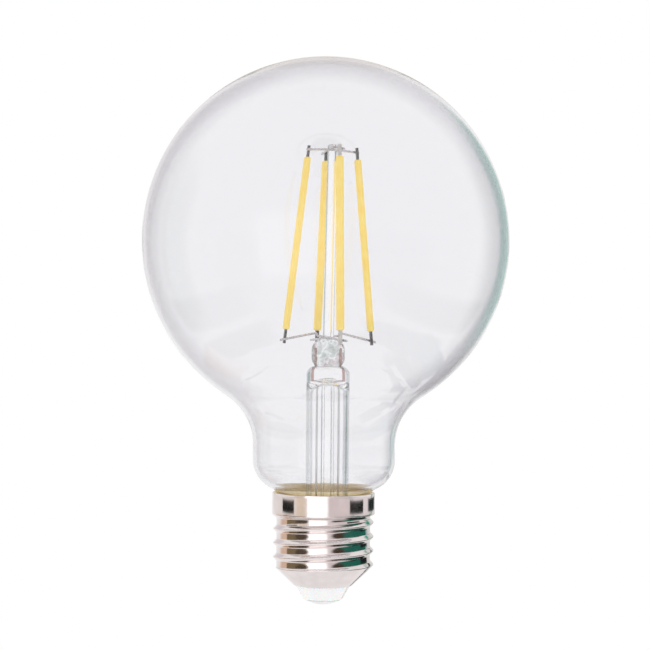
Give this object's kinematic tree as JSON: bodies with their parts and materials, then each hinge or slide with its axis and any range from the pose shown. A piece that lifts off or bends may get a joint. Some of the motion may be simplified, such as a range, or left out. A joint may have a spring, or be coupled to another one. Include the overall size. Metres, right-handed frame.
{
  "type": "led light bulb",
  "caption": "Clear glass globe lamp with upright yellow LED filaments on a glass stem, above a nickel-plated E27 screw cap with a white insulator and a domed centre contact.",
  "frame": {"origin": "tip of the centre contact, on the lamp's axis", "axes": "+Z along the lamp's axis from the contact to the crown, +X to the right and +Y away in the picture"},
  "size_m": [0.095, 0.095, 0.1413],
  "materials": {
    "clear_glass": "clear, polished",
    "stem_glass": "clear, fire polished",
    "nickel_plate": "bright nickel plate",
    "contact_metal": "bright nickel plate",
    "white_insulator": "smooth white",
    "cement": "matte amber cement",
    "solder": "soft bright solder",
    "circuit_board": "green solder mask",
    "black_moulding": "moulded epoxy",
    "capacitor_sleeve": "shrink sleeve",
    "resistor_coating": "lacquer",
    "nickel_wire": "drawn wire",
    "seal_wire": "copper clad",
    "phosphor_coat": "yellow phosphor in silicone",
    "strip_metal": "tinned strip",
    "led_chip": "sapphire die"
  },
  "bodies": {
    "root": {"glass_globe": "clear_glass", "flared_stem": "stem_glass", "exhaust_tube": "stem_glass", "centre_rod": "stem_glass", "cap_shell": "nickel_plate", "centre_contact": "contact_metal", "cap_insulator": "white_insulator", "cap_cement": "cement", "contact_solder": "solder", "shell_solder": "solder", "driver_board": "circuit_board", "bridge_rectifier": "black_moulding", "driver_chip": "black_moulding", "smoothing_capacitor": "capacitor_sleeve", "fuse_resistor": "resistor_coating", "live_wire": "nickel_wire", "neutral_wire": "nickel_wire", "top_wire_side": "nickel_wire", "top_wire_depth": "nickel_wire", "cross_arm_front": "nickel_wire", "cross_arm_back": "nickel_wire", "inner_lead_left": "nickel_wire", "outer_lead_left": "nickel_wire", "seal_wire_left": "seal_wire", "inner_lead_right": "nickel_wire", "outer_lead_right": "nickel_wire", "seal_wire_right": "seal_wire", "filament_coat_left": "phosphor_coat", "filament_strip_left": "strip_metal", "led_chips_left": "led_chip", "filament_coat_front": "phosphor_coat", "filament_strip_front": "strip_metal", "led_chips_front": "led_chip", "filament_coat_right": "phosphor_coat", "filament_strip_right": "strip_metal", "led_chips_right": "led_chip", "filament_coat_back": "phosphor_coat", "filament_strip_back": "strip_metal", "led_chips_back": "led_chip"}
  },
  "joints": []
}
